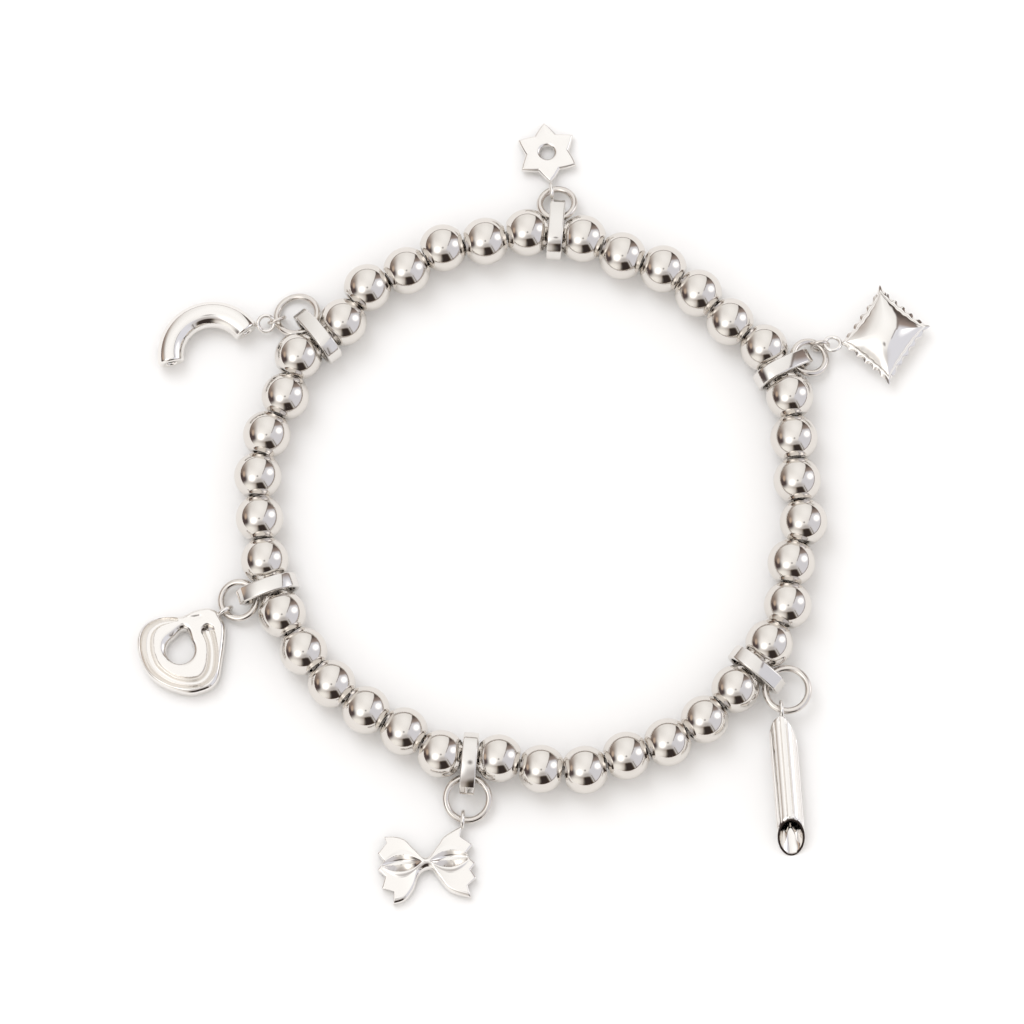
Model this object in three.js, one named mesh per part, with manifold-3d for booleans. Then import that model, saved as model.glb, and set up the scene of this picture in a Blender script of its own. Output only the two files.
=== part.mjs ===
// Charm bracelet of polished silver beads on an elastic cord, laid flat on a surface.
// Six bails sit between the beads, and each carries a jump ring with a pasta-shaped charm.
// Millimetres, +Z up, the origin under the middle of the whole bracelet, on the surface.
import * as THREE from 'three';
import { mergeVertices } from 'three/addons/utils/BufferGeometryUtils.js';
import Module from 'manifold-3d';

const wasm = await Module();
wasm.setup();

// Beads and cord
const BEAD_DIAMETER = 5.0;
const BEAD_LENGTH = 4.15; // across the two flat ends, along the cord
const BEAD_BORE = 1.5;
const BEAD_GAP = 0.38; // between the flat ends of neighbours, on the cord's line
const BEAD_SIDES = 12;
const BEAD_ARC_STEPS = 6;
const CORD_CLEARANCE = 0.3; // all round the cord, in a bead's bore
const CORD_SIDES = 6;

// Bails: a closed flat band, round at the back and pointed at the front
const BAIL_WIDTH = 1.6;
const BAIL_WALL = 0.5;
const BAIL_HEIGHT = 4.7;
const BAIL_REACH = 3.9; // from the cord's middle to the point
const BAIL_BACK = 2.6; // from the cord's middle to the round back
const BAIL_SHOULDER = 0.55; // from the point back to the crease
const BAIL_FACET = 1.18; // height of the crease above the point
const BAIL_CREASE_WALL = 0.8; // share of the wall by which the inner crease stands back
const BAIL_ARCH_STEPS = 4;
const BAIL_BACK_STEPS = 4; // in a quarter turn
const BAIL_SIDE_GAP = 0.12; // between a bead's flat end and the bail's side

// Jump rings, loops and links
const RING_DIAMETER = 5.1; // outside, of the largest jump ring
const RING_WIRE = 0.63;
const RING_SIDES = 16;
const LOOP_DIAMETER = 2.1; // outside, of the soldered loops and the loose links
const LOOP_WIRE = 0.38;
const LOOP_SIDES = 12;
const WIRE_SIDES = 6;
const LINK_SLACK = 0.12; // between the wires of two links that hold each other
const LOOP_ROLL = 70; // of a charm's loop that a loose link holds, degrees from upright
const LINK_ROLL = -15; // of the loose link
const SOLDER = 0.2; // how deep a loop's wire sits in its charm

// Star charm
const STAR_RADIUS = 3.15;
const STAR_VALLEY = 2.05;
const STAR_THICKNESS = 0.9;
const STAR_HOLE = 1.5;
const STAR_FLANK = 0.6; // share of each flank that stays straight before the rounded tip

// Pillow charm (ravioli)
const PILLOW_SHORT = 6.35;
const PILLOW_LONG = 7.1;
const PILLOW_BORDER = 0.95;
const PILLOW_EDGE = 0.45;
const PILLOW_HEIGHT = 2.5;
const PILLOW_SQUASH = 0.95; // the diagonal in line with the loop is shorter by this, the other longer
const PILLOW_SIDE = 0.5; // of the corner from the loop's middle
const PILLOW_TEETH = 6;
const PILLOW_TOOTH_DEPTH = 0.28;
const PILLOW_CORNER_REACH = 0.3; // how far each corner is drawn out
const PILLOW_CORNER_POWER = 4; // how late along a side the drawing out sets in
// The dome's levels: inset from the side as a share of half the short side, and height as a share
// of half the pillow's.
const PILLOW_DOME = [{ inset: 0.4, height: 0.8 }, { inset: 0.72, height: 1 }];

// Quill charm (penne)
const QUILL_LENGTH = 14.3;
const QUILL_DIAMETER = 2.9;
const QUILL_WALL = 0.3;
const QUILL_RIDGES = 14;
const QUILL_GROOVE = 0.12;
const QUILL_SLANT = 1.23; // length of the cut for each millimetre of height

// Bow charm (farfalle)
const BOW_WIDTH = 10.2;
const BOW_THICKNESS = 1.1;
const BOW_FOLD_HEIGHT = 0.75; // of the highest fold, above the plate
const BOW_TURN = 99.5; // degrees, from the bow's own length to the line in which it hangs

// Folded ring charm (tortellini)
const FOLD_WIDTH = 9.1;
const FOLD_THICKNESS = 1.7;
const FOLD_GROOVE_DEPTH = 0.75;
const FOLD_GROOVE_WIDTH = 1.0;
const FOLD_HOLE = 2.9;
const FOLD_HOLE_NECK = 0.35; // how much longer the hole's radius is towards its narrow neck
const FOLD_HOLE_POWER = 6; // how narrow that neck is
const FOLD_TURN = -211; // degrees, as BOW_TURN

// Elbow charm (macaroni)
const ELBOW_RADIUS = 4.36; // of the bend, to the tube's middle
const ELBOW_DIAMETER = 2.78;
const ELBOW_HOLE = 1.2;
const ELBOW_SWEEP = 159; // degrees
const ELBOW_TURN = -76; // degrees, as BOW_TURN

// Fineness of the charms' round stretches
const TUBE_SIDES = 12;
const HOLE_SIDES = 12;
const GROOVE_SIDES = 8;
const GROOVE_STEPS = 16;
const BEND_STEPS = 12;
const RIM_STEPS = 36;
const MERGE_DISTANCE = 1e-5;

const SILVER = new THREE.Color(0.86, 0.84, 0.81);
const CORD_COLOUR = new THREE.Color(0.82, 0.81, 0.79);

// The route of the string, seen from above, clockwise from the star's bail: points chosen by hand.
const STRING_ROUTE = [
  [4.6, 30.3], [11.5, 27.6], [16.0, 26.1], [19.6, 23.5], [22.9, 20.4], [28.2, 15.5], [29.4, 8.3],
  [29.7, 3.7], [30.4, -0.7], [29.1, -5.1], [28.7, -9.7], [25.3, -16.1], [20.1, -21.8], [16.2, -24.3],
  [12.0, -25.7], [7.9, -27.2], [3.3, -27.2], [-1.1, -26.1], [-7.3, -25.6], [-11.2, -23.2],
  [-17.1, -19.6], [-21.8, -14.5], [-25.1, -7.7], [-26.3, -0.6], [-26.5, 3.9], [-25.6, 8.3],
  [-23.7, 12.4], [-22.3, 16.8], [-17.7, 20.4], [-15.2, 24.1], [-11.0, 26.0], [-7.1, 28.5], [-2.6, 29.2],
];

// One row for each bail and what hangs on it, clockwise, and the beads that follow it.
// lean: turn of the bail from square across the string. seat: how far it has slid in from the
// string's middle, as a share of BAIL_REACH. size, out, side: the jump ring's size, and its middle
// past the bail's point and sideways, as shares of RING_DIAMETER.
// slope, roll: its tilt down outwards and sideways. hang: where on it the charm hangs.
// lie: direction in which the charm lies, from +X. Angles are in degrees.
const DROPS = [
  { name: 'star', beads: 6, lean: 2, seat: 0.12, size: 0.84, out: -0.04, side: 0.02, slope: 18, roll: -6,
    hang: 26, lie: 96, link: false },
  { name: 'ravioli', beads: 7, lean: 2.5, seat: 0.15, size: 0.82, out: 0, side: 0, slope: 16, roll: 0,
    hang: 20, lie: 4.6, link: true },
  { name: 'penne', beads: 7, lean: -1, seat: 0.06, size: 1, out: 0.09, side: 0.06, slope: 2, roll: 0,
    hang: -68, lie: -86, link: false },
  { name: 'farfalle', beads: 6, lean: -3, seat: 0, size: 1, out: 0.05, side: 0.02, slope: 12, roll: 0,
    hang: -8, lie: -94, link: false },
  { name: 'tortellini', beads: 6, lean: -2, seat: 0.06, size: 0.87, out: -0.01, side: 0, slope: 13, roll: 0,
    hang: 22, lie: 211, link: false },
  { name: 'macaroni', beads: 6, lean: 5, seat: 0.06, size: 0.98, out: 0.03, side: 0.03, slope: 18, roll: 0,
    hang: 64, lie: 199.5, link: true },
];

const RADIANS = Math.PI / 180;
const beadRadius = BEAD_DIAMETER / 2;
const loopRadius = (LOOP_DIAMETER - LOOP_WIRE) / 2;
const loopHeight = LOOP_DIAMETER / 2; // a loop stands on the surface
const cordRadius = BEAD_BORE / 2 - CORD_CLEARANCE;
const bracelet = new THREE.Group();

function metal() {
  return new THREE.MeshStandardMaterial({ color: SILVER, roughness: 0.08, metalness: 1 });
}

function cordMaterial() {
  return new THREE.MeshStandardMaterial({ color: CORD_COLOUR, roughness: 0.5, metalness: 0 });
}

function addPiece(parent, name, geometry, material = metal()) {
  const mesh = new THREE.Mesh(geometry, material);
  mesh.name = name;
  parent.add(mesh);
  return mesh;
}

function toSolid(geometry) {
  geometry.deleteAttribute('normal');
  geometry.deleteAttribute('uv');
  const merged = mergeVertices(geometry, MERGE_DISTANCE);
  return new wasm.Manifold(new wasm.Mesh({
    numProp: 3,
    vertProperties: new Float32Array(merged.attributes.position.array),
    triVerts: new Uint32Array(merged.index.array),
  }));
}

function toGeometry(solid) {
  const mesh = solid.getMesh();
  const geometry = new THREE.BufferGeometry();
  geometry.setAttribute('position', new THREE.BufferAttribute(new Float32Array(mesh.vertProperties), 3));
  geometry.setIndex(new THREE.BufferAttribute(new Uint32Array(mesh.triVerts), 1));
  return geometry;
}

function join(...geometries) {
  return toGeometry(geometries.map(toSolid).reduce((whole, next) => whole.add(next)));
}

function cut(geometry, ...tools) {
  return toGeometry(tools.map(toSolid).reduce((whole, next) => whole.subtract(next), toSolid(geometry)));
}

// A closed polygon of equal sides, or of any radius that varies with the angle.
function polygon(count, radiusAt) {
  return Array.from({ length: count }, (_, i) => {
    const angle = (2 * Math.PI * i) / count;
    return new THREE.Vector2(radiusAt(angle, i) * Math.cos(angle), radiusAt(angle, i) * Math.sin(angle));
  });
}

function prism(outline, holes, depth) {
  const shape = new THREE.Shape(outline);
  shape.holes = holes.map((points) => new THREE.Path(points));
  return new THREE.ExtrudeGeometry(shape, { depth, bevelEnabled: false });
}

// A solid skinned over rings of equally many points, each end closed by a fan to its middle.
function loft(rings) {
  const count = rings[0].length;
  const middle = (ring) => ring.reduce((sum, p) => sum.add(p), new THREE.Vector3()).divideScalar(count);
  const points = [...rings.flat(), middle(rings[0]), middle(rings[rings.length - 1])];
  const [first, last] = [points.length - 2, points.length - 1];
  const index = [];
  for (let i = 0; i < count; i += 1) {
    const j = (i + 1) % count;
    index.push(first, j, i);
    for (let k = 0; k < rings.length - 1; k += 1) {
      const [low, high] = [k * count, (k + 1) * count];
      index.push(low + i, low + j, high + j, low + i, high + j, high + i);
    }
    const top = (rings.length - 1) * count;
    index.push(last, top + i, top + j);
  }
  const geometry = new THREE.BufferGeometry().setFromPoints(points);
  geometry.setIndex(index);
  return geometry;
}

// The string: equal steps between beads, and a wider step across each bail
const beadStep = BEAD_LENGTH + BEAD_GAP;
const bailStep = BAIL_WIDTH / 2 + BAIL_SIDE_GAP + BEAD_LENGTH / 2;
const beadCount = DROPS.reduce((sum, drop) => sum + drop.beads, 0);
const stringLength = (beadCount - DROPS.length) * beadStep + 2 * DROPS.length * bailStep;
const drawn = new THREE.CatmullRomCurve3(
  STRING_ROUTE.map(([x, y]) => new THREE.Vector3(x, y, 0)), true, 'catmullrom', 0.5);
const stringScale = stringLength / drawn.getLength();
const string = new THREE.CatmullRomCurve3(
  STRING_ROUTE.map(([x, y]) => new THREE.Vector3(x * stringScale, y * stringScale, beadRadius)),
  true, 'catmullrom', 0.5);
string.arcLengthDivisions = 1200;

function onString(distance) {
  return string.getPointAt((((distance / stringLength) % 1) + 1) % 1);
}

function beadAxis(place) {
  return onString(place + beadStep).sub(onString(place - beadStep)).normalize();
}

const beadPlaces = [];
const bailPlaces = [];
let travelled = 0;
for (const drop of DROPS) {
  bailPlaces.push(travelled);
  travelled += bailStep;
  for (let i = 0; i < drop.beads; i += 1) {
    beadPlaces.push(travelled);
    travelled += i < drop.beads - 1 ? beadStep : bailStep;
  }
}

// A bead: part of a sphere between two flat ends, drilled through. Its axis is the lathe's Y.
function beadGeometry() {
  const half = BEAD_LENGTH / 2;
  const reach = Math.asin(half / beadRadius);
  const profile = [new THREE.Vector2(BEAD_BORE / 2, half), new THREE.Vector2(BEAD_BORE / 2, -half)];
  for (let i = 0; i <= BEAD_ARC_STEPS; i += 1) {
    const angle = -reach + (2 * reach * i) / BEAD_ARC_STEPS;
    profile.push(new THREE.Vector2(beadRadius * Math.cos(angle), beadRadius * Math.sin(angle)));
  }
  profile.push(profile[0].clone());
  return new THREE.LatheGeometry(profile, BEAD_SIDES);
}

beadPlaces.forEach((place, i) => {
  const bead = addPiece(bracelet, `bead_${String(i + 1).padStart(2, '0')}`, beadGeometry());
  const ahead = beadAxis(place);
  const up = new THREE.Vector3(0, 0, 1);
  bead.quaternion.setFromRotationMatrix(
    new THREE.Matrix4().makeBasis(new THREE.Vector3().crossVectors(ahead, up), ahead, up));
  bead.position.copy(onString(place));
});

// The elastic cord: a closed ring through every bead and bail, straight inside each bead.
function cordGeometry() {
  const sections = beadPlaces.flatMap((place) => [-1, 1].map((end) => {
    const ahead = beadAxis(place);
    const out = new THREE.Vector3(-ahead.y, ahead.x, 0);
    const middle = onString(place).addScaledVector(ahead, (end * BEAD_LENGTH) / 2);
    return polygon(CORD_SIDES, () => cordRadius).map(({ x, y }) =>
      middle.clone().addScaledVector(out, x).add(new THREE.Vector3(0, 0, y)));
  }));
  const index = [];
  sections.forEach((_, k) => {
    const [low, high] = [k * CORD_SIDES, ((k + 1) % sections.length) * CORD_SIDES];
    for (let i = 0; i < CORD_SIDES; i += 1) {
      const j = (i + 1) % CORD_SIDES;
      index.push(low + i, low + j, high + j, low + i, high + j, high + i);
    }
  });
  const geometry = new THREE.BufferGeometry().setFromPoints(sections.flat());
  geometry.setIndex(index);
  return geometry;
}

addPiece(bracelet, 'elastic_cord', cordGeometry(), cordMaterial());

// A bail's side outline, x outwards from the cord and y up from its middle height, drawn in by inset.
// Back: half an ellipse. Top: a falling arch. Front: a crease, then a facet to the point.
function bailOutline(inset) {
  const half = BAIL_HEIGHT / 2 - inset;
  const crest = BAIL_HEIGHT / 2 - BAIL_BACK; // above it the band is level
  const back = BAIL_BACK + crest - inset;
  const pointAngle = Math.atan2(BAIL_FACET, BAIL_SHOULDER);
  const point = BAIL_REACH - inset / Math.sin(pointAngle);
  const crease = BAIL_REACH - BAIL_SHOULDER - inset * BAIL_CREASE_WALL;
  const creaseHeight = (point - crease) * Math.tan(pointAngle);
  const upper = [new THREE.Vector2(point, 0)];
  for (let i = 0; i < BAIL_ARCH_STEPS; i += 1) {
    const t = i / BAIL_ARCH_STEPS;
    upper.push(new THREE.Vector2(
      crease + (crest - crease) * t, creaseHeight + (half - creaseHeight) * (1 - (1 - t) ** 2)));
  }
  for (let i = 0; i < BAIL_BACK_STEPS; i += 1) {
    const angle = (Math.PI / 2) * (1 + i / BAIL_BACK_STEPS);
    upper.push(new THREE.Vector2(crest + back * Math.cos(angle), half * Math.sin(angle)));
  }
  const lower = upper.slice(1).reverse().map(({ x, y }) => new THREE.Vector2(x, -y));
  return [...upper, new THREE.Vector2(crest - back, 0), ...lower];
}

function bailGeometry() {
  const geometry = prism(bailOutline(0), [bailOutline(BAIL_WALL)], BAIL_WIDTH);
  return geometry.translate(0, 0, -BAIL_WIDTH / 2).rotateX(Math.PI / 2).translate(0, 0, BAIL_HEIGHT / 2);
}

// Height of the middle of each charm's loop: on the surface, or higher where the charm holds it up.
// The elbow's loop is held between its tube's middle and the surface by its link.
const chainHeight = {
  star: loopHeight,
  ravioli: Math.max(PILLOW_HEIGHT / 2, loopHeight),
  penne: QUILL_DIAMETER - loopRadius + SOLDER,
  farfalle: loopHeight,
  tortellini: loopHeight,
  macaroni: (ELBOW_DIAMETER / 2 + loopHeight) / 2,
};
const linkHeight = loopRadius * Math.cos(LINK_ROLL * RADIANS) + LOOP_WIRE / 2;

// A small loop of wire in the upright plane through X, its middle at the given height.
function loopGeometry(height = loopHeight, turn = 0) {
  return new THREE.TorusGeometry(loopRadius, LOOP_WIRE / 2, WIRE_SIDES, LOOP_SIDES)
    .rotateX(Math.PI / 2 + turn * RADIANS).translate(0, 0, height);
}

// How far a loop reaches along X at a depth below the top of its wire's middle line.
function loopReachBelowTop(depth) {
  return Math.sqrt(Math.max(loopRadius ** 2 - (loopRadius - depth) ** 2, 0)) + LOOP_WIRE / 2;
}

// Each charm stands on z = 0 with its loop's middle above the origin, and lies towards +X.
// The loop's wire sits SOLDER deep in it, twice as deep in a sharp corner and half as deep in a round tip.

// How far a shape reaches along +X.
function reachOf(geometry) {
  return new THREE.Box3().setFromBufferAttribute(geometry.attributes.position).max.x;
}

// A plate soldered at its mid-height to a loop that stands on the surface: from there it leans
// until its far end lies on the surface. It comes standing on z = 0, its near point at x = 0.
function leanFromLoop(plate, reach, thickness, depth) {
  const seat = loopRadius + LOOP_WIRE / 2 - depth;
  const lean = Math.asin((loopHeight - thickness / 2) / (seat + reach));
  return plate.translate(seat, 0, -thickness / 2).rotateY(lean).translate(0, 0, loopHeight);
}

// Star: six rounded points round a drilled middle.
function starCharm() {
  const valleyReach = STAR_VALLEY * Math.cos(30 * RADIANS);
  const corner = (2 * STAR_RADIUS - valleyReach * (1 - STAR_FLANK)) / (1 + STAR_FLANK);
  const at = (radius, degrees) =>
    new THREE.Vector2(radius * Math.cos(degrees * RADIANS), radius * Math.sin(degrees * RADIANS));
  const outline = new THREE.Path();
  for (let i = 0; i < 6; i += 1) {
    const [before, after] = [at(STAR_VALLEY, 60 * i - 30), at(STAR_VALLEY, 60 * i + 30)];
    const tip = at(corner, 60 * i);
    const [start, end] = [before, after].map((valley) => valley.clone().lerp(tip, STAR_FLANK));
    if (i === 0) outline.moveTo(before.x, before.y);
    outline.lineTo(start.x, start.y);
    outline.quadraticCurveTo(tip.x, tip.y, end.x, end.y);
    if (i < 5) outline.lineTo(after.x, after.y);
  }
  const hole = polygon(HOLE_SIDES, () => STAR_HOLE / 2);
  const plate = prism(outline.getPoints(4), [hole], STAR_THICKNESS).translate(STAR_RADIUS, 0, 0);
  return join(leanFromLoop(plate, 2 * STAR_RADIUS, STAR_THICKNESS, SOLDER / 2), loopGeometry());
}

// Pillow: a domed cushion on both faces, with a flat pinked border and drawn-out corners.
function pillowCharm() {
  const perSide = 2 * PILLOW_TEETH;
  const [halfShort, halfLong] = [PILLOW_SHORT / 2, PILLOW_LONG / 2];
  const middle = chainHeight.ravioli;
  const ring = (inset, height, teeth) => Array.from({ length: 4 * perSide }, (_, i) => {
    const side = Math.floor(i / perSide);
    const along = (2 * (i % perSide)) / perSide - 1;
    const [reach, across] = side % 2 ? [halfShort, halfLong] : [halfLong, halfShort];
    const tooth = teeth && i % 2 && i % perSide ? PILLOW_TOOTH_DEPTH : 0;
    const drawnOut = teeth ? PILLOW_CORNER_REACH * Math.abs(along) ** PILLOW_CORNER_POWER : 0;
    const p = new THREE.Vector3(
      along * (across - inset + drawnOut), -(reach - inset - tooth + drawnOut), height);
    return p.applyAxisAngle(new THREE.Vector3(0, 0, 1), side * (Math.PI / 2));
  });
  const dome = PILLOW_DOME.map(({ inset, height }) => [inset * halfShort, (height * PILLOW_HEIGHT) / 2]);
  const upper = [[0, PILLOW_EDGE / 2], [PILLOW_BORDER, PILLOW_EDGE / 2], ...dome];
  const lower = upper.map(([inset, height]) => [inset, -height]).reverse();
  const body = loft(
    [...lower, ...upper].map(([inset, height]) => ring(inset, middle + height, inset === 0)));
  const corner = new THREE.Vector2(-halfShort - PILLOW_CORNER_REACH, halfLong + PILLOW_CORNER_REACH);
  const seat = loopRadius + LOOP_WIRE / 2 - 2 * SOLDER;
  body.rotateZ(-corner.angle()).scale(PILLOW_SQUASH, 1 / PILLOW_SQUASH, 1)
    .translate(seat + corner.length() * PILLOW_SQUASH, PILLOW_SIDE, 0);
  return join(body, loopGeometry(middle, LOOP_ROLL));
}

// Quill: a fluted tube, both ends cut on the same slant, so that the near tip is the top one.
function quillCharm() {
  const radius = QUILL_DIAMETER / 2;
  const flutes = polygon(3 * QUILL_RIDGES, (_, i) => radius - (i % 3 ? 0 : QUILL_GROOVE));
  const bore = polygon(TUBE_SIDES, () => radius - QUILL_WALL);
  const straight = QUILL_LENGTH - QUILL_SLANT * QUILL_DIAMETER;
  const tube = prism(flutes, [bore], straight).rotateY(Math.PI / 2).translate(0, 0, radius);
  const place = tube.attributes.position;
  for (let i = 0; i < place.count; i += 1) {
    place.setX(i, place.getX(i) + QUILL_SLANT * (QUILL_DIAMETER - place.getZ(i)));
  }
  tube.translate(loopReachBelowTop(SOLDER + QUILL_WALL / 2) - SOLDER, 0, 0);
  return join(tube, loopGeometry(chainHeight.penne));
}

// Bow: two zigzag wings from a pinched middle, a long fold on each. Outline as shares of its width,
// x to the right wing and y towards the loop's side, from the pinch, clockwise from the tip that the
// loop is soldered to.
const BOW_OUTLINE = [
  [0.4, 0.33], [0.37, 0.22], [0.49, 0.125], [0.42, 0.055], [0.435, 0.005], [0.5, -0.07], [0.445, -0.12],
  [0.495, -0.215], [0.4, -0.28], [0.425, -0.41], [0.22, -0.33], [0.115, -0.195], [0.035, -0.085],
  [-0.075, -0.13], [-0.15, -0.275], [-0.25, -0.375], [-0.37, -0.4], [-0.35, -0.27], [-0.47, -0.225],
  [-0.425, -0.11], [-0.495, -0.035], [-0.425, 0.045], [-0.48, 0.13], [-0.38, 0.225], [-0.4, 0.295],
  [-0.29, 0.285], [-0.19, 0.245], [-0.11, 0.15], [0.005, 0.04], [0.135, 0.16], [0.215, 0.245],
];
// The raised folds, and the pinch between them: place, length and width as shares of the bow's
// width, and height as a share of BOW_FOLD_HEIGHT.
const BOW_FOLDS = [
  { x: -0.24, length: 0.4, width: 0.13, height: 0.6 },
  { x: 0.24, length: 0.4, width: 0.13, height: 0.6 },
  { x: 0, length: 0.16, width: 0.12, height: 1 },
];

function bowCharm() {
  const outline = BOW_OUTLINE.map(([x, y]) => new THREE.Vector2(x * BOW_WIDTH, y * BOW_WIDTH));
  const plate = prism(outline, [], BOW_THICKNESS);
  const folds = BOW_FOLDS.map(({ x, length, width, height }) =>
    new THREE.SphereGeometry(BOW_WIDTH / 2, TUBE_SIDES, TUBE_SIDES / 2).rotateX(Math.PI / 2)
      .scale(length, width, (2 * height * BOW_FOLD_HEIGHT) / BOW_WIDTH)
      .translate(x * BOW_WIDTH, 0, BOW_THICKNESS));
  const [tip] = outline;
  const body = join(plate, ...folds).translate(-tip.x, -tip.y, 0).rotateZ(BOW_TURN * RADIANS);
  return join(leanFromLoop(body, reachOf(body), BOW_THICKNESS, 2 * SOLDER), loopGeometry());
}

// Folded ring: a thick plate with a raised rim, a hole, and a groove that runs round the inner fold.
// Outline and groove as shares of its width, from the hole's middle, as seen with its loop top right.
const FOLD_OUTLINE = [
  [0.44, 0.42], [0.38, 0.47], [0.3, 0.49], [0.16, 0.465], [0.04, 0.405], [-0.06, 0.39],
  [-0.22, 0.385], [-0.38, 0.325], [-0.47, 0.22], [-0.5, 0.08], [-0.46, -0.1], [-0.38, -0.26],
  [-0.26, -0.38], [-0.09, -0.465], [0.1, -0.51], [0.24, -0.49], [0.37, -0.43], [0.445, -0.32],
  [0.48, -0.12], [0.505, 0.08], [0.51, 0.28],
];
const FOLD_GROOVE = [
  [-0.2, 0.29], [-0.33, 0.19], [-0.37, 0.03], [-0.33, -0.15], [-0.2, -0.3], [0.0, -0.39],
  [0.2, -0.39], [0.33, -0.29], [0.38, -0.1], [0.37, 0.1], [0.36, 0.24],
];

// An open curve through points on the surface.
class OpenPath extends THREE.CatmullRomCurve3 {
  constructor(points) {
    super(points.map(([x, y]) => new THREE.Vector3(x, y, 0)), false, 'catmullrom', 0.5);
  }
}

function foldCharm() {
  const scaled = (points) => points.map(([x, y]) => [x * FOLD_WIDTH, y * FOLD_WIDTH]);
  const corners = scaled(FOLD_OUTLINE).map(([x, y]) => new THREE.Vector3(x, y, 0));
  const rim = new THREE.CatmullRomCurve3(corners, true).getPoints(RIM_STEPS).slice(0, -1);
  const hole = polygon(HOLE_SIDES, (angle) =>
    (FOLD_HOLE / 2) * (1 + FOLD_HOLE_NECK * Math.max(Math.sin(angle), 0) ** FOLD_HOLE_POWER));
  const plate = prism(rim.map(({ x, y }) => new THREE.Vector2(x, y)), [hole], FOLD_THICKNESS);
  const section = new THREE.Shape(polygon(GROOVE_SIDES, () => FOLD_GROOVE_WIDTH / 2));
  const groove = new THREE.ExtrudeGeometry(section, {
    steps: GROOVE_STEPS, extrudePath: new OpenPath(scaled(FOLD_GROOVE)) });
  groove.scale(1, 1, (2 * FOLD_GROOVE_DEPTH) / FOLD_GROOVE_WIDTH).translate(0, 0, FOLD_THICKNESS);
  const corner = new THREE.Vector2(...FOLD_OUTLINE[0]).multiplyScalar(FOLD_WIDTH);
  const body = cut(plate, groove).translate(-corner.x, -corner.y, 0).rotateZ(FOLD_TURN * RADIANS);
  return join(leanFromLoop(body, reachOf(body), FOLD_THICKNESS, 2 * SOLDER), loopGeometry());
}

// Elbow: a thick tube bent round part of a circle, open at both ends.
class Bend extends THREE.Curve {
  getPoint(t) {
    const angle = t * ELBOW_SWEEP * RADIANS;
    return new THREE.Vector3(ELBOW_RADIUS * Math.sin(angle), ELBOW_RADIUS * (1 - Math.cos(angle)), 0);
  }
}

function elbowCharm() {
  const section = new THREE.Shape(polygon(TUBE_SIDES, () => ELBOW_DIAMETER / 2));
  section.holes = [new THREE.Path(polygon(HOLE_SIDES, () => ELBOW_HOLE / 2))];
  const tube = new THREE.ExtrudeGeometry(section, { steps: BEND_STEPS, extrudePath: new Bend() });
  tube.translate(0, ELBOW_DIAMETER / 2, 0).rotateZ(ELBOW_TURN * RADIANS);
  tube.translate(loopRadius + LOOP_WIRE / 2 - SOLDER, 0, ELBOW_DIAMETER / 2);
  return join(tube, loopGeometry(chainHeight.macaroni, LOOP_ROLL));
}

const CHARMS = {
  star: starCharm, ravioli: pillowCharm, penne: quillCharm,
  farfalle: bowCharm, tortellini: foldCharm, macaroni: elbowCharm,
};

// Each drop stands at its bail, x outwards across the string.
DROPS.forEach((drop, i) => {
  const ahead = string.getTangentAt(bailPlaces[i] / stringLength);
  const outwards = Math.atan2(ahead.x, -ahead.y) + drop.lean * RADIANS;
  const place = onString(bailPlaces[i]);
  const station = new THREE.Group();
  const seat = BAIL_REACH * drop.seat;
  station.position.set(place.x - seat * Math.cos(outwards), place.y - seat * Math.sin(outwards), 0);
  station.rotation.z = outwards;
  bracelet.add(station);
  addPiece(station, `bail_${drop.name}`, bailGeometry());

  const ringRadius = (RING_DIAMETER * drop.size - RING_WIRE) / 2;
  const ring = addPiece(station, `jump_ring_${drop.name}`,
    new THREE.TorusGeometry(ringRadius, RING_WIRE / 2, WIRE_SIDES, RING_SIDES));
  ring.rotation.set(drop.roll * RADIANS, drop.slope * RADIANS, 0);
  ring.position.set(BAIL_REACH + RING_DIAMETER * drop.out, RING_DIAMETER * drop.side, 0);
  ring.updateMatrix();

  // The ring's wire lies in the bottom of the loop that it holds, which sets the ring's height.
  const hang = drop.hang * RADIANS;
  const held = new THREE.Vector3(ringRadius * Math.cos(hang), ringRadius * Math.sin(hang), 0)
    .applyMatrix4(ring.matrix);
  const innerRadius = LOOP_DIAMETER / 2 - LOOP_WIRE;
  const holderHeight = drop.link ? linkHeight : chainHeight[drop.name];
  const holderDrop = innerRadius * (drop.link ? Math.cos(LINK_ROLL * RADIANS) : 1);
  ring.position.z = holderHeight - holderDrop + LINK_SLACK + RING_WIRE / 2 - held.z;

  const lie = drop.lie * RADIANS - outwards;
  const onward = new THREE.Vector3(Math.cos(lie), Math.sin(lie), 0);
  held.setZ(0);
  if (drop.link) {
    const link = addPiece(station, `link_${drop.name}`, loopGeometry(linkHeight, LINK_ROLL));
    link.position.copy(held);
    link.rotation.z = lie;
    const reach = 2 * loopRadius - LOOP_WIRE - LINK_SLACK;
    held.addScaledVector(onward, Math.sqrt(reach ** 2 - (chainHeight[drop.name] - linkHeight) ** 2));
  }
  const charm = addPiece(station, `charm_${drop.name}`, CHARMS[drop.name]());
  charm.position.copy(held);
  charm.rotation.z = lie;
});

// The origin goes under the middle of the bracelet.
bracelet.updateMatrixWorld(true);
const box = new THREE.Box3().setFromObject(bracelet, true);
const centre = box.getCenter(new THREE.Vector3());
bracelet.position.set(-centre.x, -centre.y, -box.min.z);

export default bracelet;
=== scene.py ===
"""Charm bracelet of polished silver beads on an elastic cord, with pasta-shaped charms.

Every piece is a surface worked out with numpy in millimetres, standing where the frame's node of
the same kind stands, and written to its mesh in metres.
"""
import math

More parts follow.
